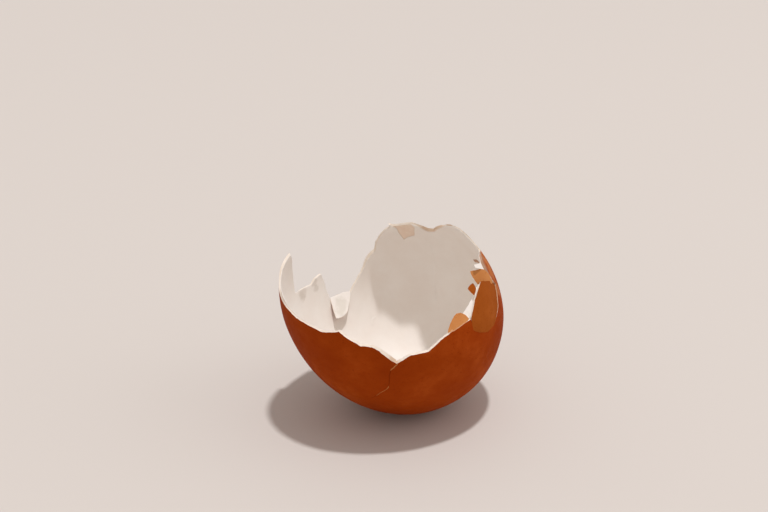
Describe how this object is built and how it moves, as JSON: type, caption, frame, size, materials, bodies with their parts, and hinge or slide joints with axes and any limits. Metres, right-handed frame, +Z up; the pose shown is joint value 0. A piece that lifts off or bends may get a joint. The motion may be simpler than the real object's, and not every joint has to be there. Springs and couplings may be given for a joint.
{
  "type": "cracked eggshell",
  "caption": "Empty half of a cracked brown hen's egg: a thin jagged shell lined with white membrane, with broken chips at its edge, lying tilted with its opening up.",
  "frame": {"origin": "centre of the small flat spot under the shell that it rests on", "axes": "+Z up; +Y away from the viewer who looks into the opening; +X to that viewer's right, so the opening leans 45 degrees towards -X and -Y"},
  "size_m": [0.0479, 0.0461, 0.0399],
  "materials": {
    "shell": "satin",
    "membrane": "matte"
  },
  "bodies": {
    "root": {"shell": "shell", "membrane": "membrane", "flap_left": "shell", "plate_right": "shell", "chip_upper": "shell", "chip_small": "shell", "chip_crescent": "shell"}
  },
  "joints": []
}
